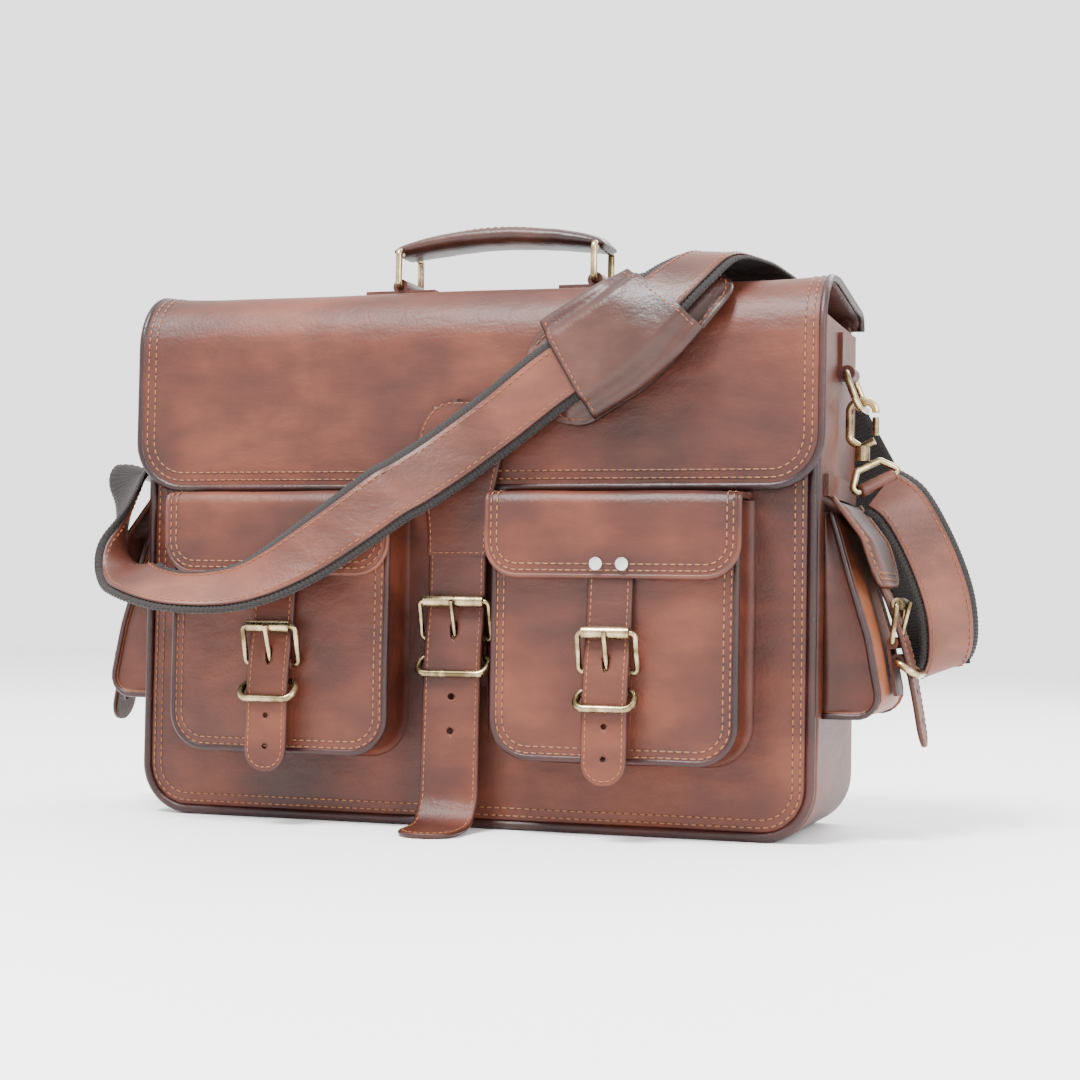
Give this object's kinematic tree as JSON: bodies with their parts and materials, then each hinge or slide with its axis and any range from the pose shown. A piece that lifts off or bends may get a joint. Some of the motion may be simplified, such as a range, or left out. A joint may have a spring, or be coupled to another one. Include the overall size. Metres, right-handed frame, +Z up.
{
  "type": "satchel bag",
  "caption": "Leather satchel with a buckled flap, two front pockets, two side pockets, a top handle and a padded shoulder strap on trigger hooks.",
  "frame": {"origin": "centre of the flat base of the main body, on the surface it stands on", "axes": "+X to the bag's right along its width, -Y out of the front with the flap, +Z up"},
  "size_m": [0.5266, 0.2192, 0.3475],
  "materials": {
    "brown_leather": "oiled pull-up leather, lightly creased",
    "tan_leather": "oiled leather, orange tan",
    "dark_leather": "smooth dark brown leather",
    "dark_piping": "dark bound edge",
    "webbing": "ribbed cotton webbing with a leather strip",
    "lining_fabric": "plain canvas lining",
    "board": "stiff fibre board",
    "antique_brass": "antique, rubbed bright on edges",
    "nickel": "polished rivet"
  },
  "bodies": {
    "root": {"front_panel": "brown_leather", "back_panel": "brown_leather", "gusset": "brown_leather", "panel_piping": "dark_piping", "base_board": "board", "lining": "lining_fabric", "lid_seams": "brown_leather", "pocket_buckle_frames": "antique_brass", "pocket_chapes": "brown_leather", "pocket_keepers": "antique_brass", "centre_buckle_frame": "antique_brass", "centre_chape": "brown_leather", "centre_keeper": "antique_brass", "strap_tabs": "brown_leather", "strap_rings": "antique_brass", "strap_left_loop": "webbing", "strap_right_run": "webbing", "left_front_pocket": "brown_leather", "right_front_pocket": "brown_leather", "left_front_pocket_gusset": "brown_leather", "right_front_pocket_gusset": "brown_leather", "left_side_pocket": "tan_leather", "right_side_pocket": "tan_leather", "left_side_pocket_gusset": "brown_leather", "right_side_pocket_gusset": "brown_leather"},
    "flap": {"main_flap": "brown_leather", "centre_strap": "brown_leather", "handle_tabs": "brown_leather", "strap_front_run": "webbing", "shoulder_pad": "dark_leather", "pad_sleeve": "dark_leather"},
    "left_front_lid": {"left_front_lid": "brown_leather", "left_front_strap": "brown_leather", "left_front_rivets": "nickel"},
    "left_side_lid": {"left_side_lid": "brown_leather", "left_side_strap": "brown_leather"},
    "right_front_lid": {"right_front_lid": "brown_leather", "right_front_strap": "brown_leather", "right_front_rivets": "nickel"},
    "right_side_lid": {"right_side_lid": "brown_leather", "right_side_strap": "brown_leather"},
    "left_front_roller": {"left_front_roller": "antique_brass"},
    "left_front_prong": {"left_front_prong": "antique_brass"},
    "right_front_roller": {"right_front_roller": "antique_brass"},
    "right_front_prong": {"right_front_prong": "antique_brass"},
    "centre_roller": {"centre_roller": "antique_brass"},
    "centre_prong": {"centre_prong": "antique_brass"},
    "left_side_roller": {"left_side_roller": "antique_brass"},
    "left_side_prong": {"left_side_prong": "antique_brass"},
    "right_side_roller": {"right_side_roller": "antique_brass"},
    "right_side_prong": {"right_side_prong": "antique_brass"},
    "handle_ring_left": {"handle_ring_left": "antique_brass"},
    "handle_ring_right": {"handle_ring_right": "antique_brass"},
    "handle_grip": {"handle_grip": "brown_leather"},
    "left_d_ring": {"left_d_ring": "antique_brass"},
    "left_hook": {"left_hook": "antique_brass"},
    "left_hook_gate": {"left_hook_gate": "antique_brass"},
    "right_d_ring": {"right_d_ring": "antique_brass"},
    "right_hook": {"right_hook": "antique_brass"},
    "right_hook_gate": {"right_hook_gate": "antique_brass"}
  },
  "joints": [
    {"name": "flap_hinge", "type": "hinge", "parent": "root", "child": "flap", "pos_m": [0, 0.0628, 0.2895], "axis": [-1, 0, 0], "range_deg": [0, 110], "deforming": ["strap_front_run", "strap_left_loop", "strap_right_run", "shoulder_pad", "pad_sleeve", "centre_strap"]},
    {"name": "left_front_lid_hinge", "type": "hinge", "parent": "root", "child": "left_front_lid", "pos_m": [0, -0.0725, 0.187], "axis": [-1, 0, 0], "range_deg": [0, 90], "deforming": ["left_front_strap"]},
    {"name": "left_side_lid_hinge", "type": "hinge", "parent": "root", "child": "left_side_lid", "pos_m": [-0.204, 0, 0.185], "axis": [0, 1, 0], "range_deg": [0, 50], "deforming": ["left_side_strap"]},
    {"name": "right_front_lid_hinge", "type": "hinge", "parent": "root", "child": "right_front_lid", "pos_m": [0, -0.0725, 0.187], "axis": [-1, 0, 0], "range_deg": [0, 90], "deforming": ["right_front_strap"]},
    {"name": "right_side_lid_hinge", "type": "hinge", "parent": "root", "child": "right_side_lid", "pos_m": [0.204, 0, 0.185], "axis": [0, -1, 0], "range_deg": [0, 50], "deforming": ["right_side_strap"]},
    {"name": "left_front_roller_spin", "type": "hinge", "parent": "root", "child": "left_front_roller", "pos_m": [-0.1, -0.1031, 0.111], "axis": [1, 0, 0], "continuous": true},
    {"name": "left_front_prong_hinge", "type": "hinge", "parent": "root", "child": "left_front_prong", "pos_m": [-0.1, -0.097, 0.09], "axis": [1, 0, 0], "range_deg": [0, 15]},
    {"name": "right_front_roller_spin", "type": "hinge", "parent": "root", "child": "right_front_roller", "pos_m": [0.0955, -0.1031, 0.111], "axis": [1, 0, 0], "continuous": true},
    {"name": "right_front_prong_hinge", "type": "hinge", "parent": "root", "child": "right_front_prong", "pos_m": [0.0955, -0.097, 0.09], "axis": [1, 0, 0], "range_deg": [0, 15]},
    {"name": "centre_roller_spin", "type": "hinge", "parent": "root", "child": "centre_roller", "pos_m": [0, -0.0767, 0.1265], "axis": [1, 0, 0], "continuous": true},
    {"name": "centre_prong_hinge", "type": "hinge", "parent": "root", "child": "centre_prong", "pos_m": [0, -0.0706, 0.1055], "axis": [1, 0, 0], "range_deg": [0, 15]},
    {"name": "left_side_roller_spin", "type": "hinge", "parent": "root", "child": "left_side_roller", "pos_m": [-0.23594, 0, 0.12914], "axis": [0, 1, 0], "continuous": true},
    {"name": "left_side_prong_hinge", "type": "hinge", "parent": "root", "child": "left_side_prong", "pos_m": [-0.2332, 0, 0.10744], "axis": [0, -1, 0], "range_deg": [0, 15]},
    {"name": "right_side_roller_spin", "type": "hinge", "parent": "root", "child": "right_side_roller", "pos_m": [0.23594, 0, 0.12914], "axis": [0, 1, 0], "continuous": true},
    {"name": "right_side_prong_hinge", "type": "hinge", "parent": "root", "child": "right_side_prong", "pos_m": [0.2332, 0, 0.10744], "axis": [0, 1, 0], "range_deg": [0, 15]},
    {"name": "handle_lean", "type": "hinge", "parent": "flap", "child": "handle_ring_left", "pos_m": [-0.0605, 0, 0.314], "axis": [0, 1, 0], "range_deg": [-50, 50]},
    {"name": "handle_grip_hinge", "type": "hinge", "parent": "handle_ring_left", "child": "handle_grip", "pos_m": [-0.0605, 0, 0.335], "axis": [0, 1, 0], "range_deg": [-50, 50]},
    {"name": "handle_ring_right_hinge", "type": "hinge", "parent": "flap", "child": "handle_ring_right", "pos_m": [0.0605, 0, 0.314], "axis": [0, 1, 0], "range_deg": [-50, 50]},
    {"name": "left_d_ring_swing", "type": "hinge", "parent": "root", "child": "left_d_ring", "pos_m": [-0.2054, 0.004, 0.258], "axis": [0, 1, 0], "range_deg": [-4, 4]},
    {"name": "left_hook_swivel", "type": "hinge", "parent": "root", "child": "left_hook", "pos_m": [-0.213, 0.004, 0.216], "axis": [0, 0, 1], "range_deg": [-10, 10]},
    {"name": "left_gate_hinge", "type": "hinge", "parent": "left_hook", "child": "left_hook_gate", "pos_m": [-0.2204, 0.004, 0.2234], "axis": [0, 1, 0], "range_deg": [0, 14], "stiffness_Nm_per_rad": 0.002},
    {"name": "right_d_ring_swing", "type": "hinge", "parent": "root", "child": "right_d_ring", "pos_m": [0.2054, 0.004, 0.258], "axis": [0, -1, 0], "range_deg": [-4, 4]},
    {"name": "right_hook_swivel", "type": "hinge", "parent": "root", "child": "right_hook", "pos_m": [0.213, 0.004, 0.216], "axis": [0, 0, 1], "range_deg": [-10, 10]},
    {"name": "right_gate_hinge", "type": "hinge", "parent": "right_hook", "child": "right_hook_gate", "pos_m": [0.2204, 0.004, 0.2234], "axis": [0, -1, 0], "range_deg": [0, 14], "stiffness_Nm_per_rad": 0.002}
  ],
  "couplings": [
    {"joint": "handle_grip_hinge", "follows": "handle_lean", "ratio": -1},
    {"joint": "handle_ring_right_hinge", "follows": "handle_lean", "ratio": 1}
  ]
}
